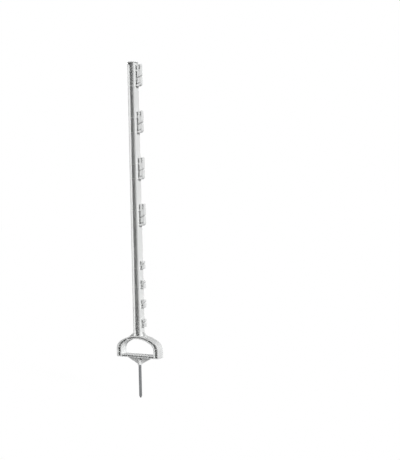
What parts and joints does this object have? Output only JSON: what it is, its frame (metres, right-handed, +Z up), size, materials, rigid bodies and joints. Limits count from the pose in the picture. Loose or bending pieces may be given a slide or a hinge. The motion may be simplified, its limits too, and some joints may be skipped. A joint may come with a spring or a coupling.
{
  "type": "step in fence post",
  "caption": "Step in post for electric fencing: white moulded I-section shaft with a round head, clips for tape, rope and wire down one side, a D-shaped foot stirrup and a round steel ground spike.",
  "frame": {"origin": "on the ground spike's axis, where the spike leaves the boss under the stirrup", "axes": "+Z up along the post; X across the stirrup with the clips on +X; Y through the stirrup's opening"},
  "size_m": [0.1554, 0.0344, 1.0495],
  "materials": {
    "white_moulding": "satin, as moulded",
    "plated_steel": "zinc plated, dull"
  },
  "bodies": {
    "root": {"post_moulding": "white_moulding", "ground_spike": "plated_steel"}
  },
  "joints": []
}
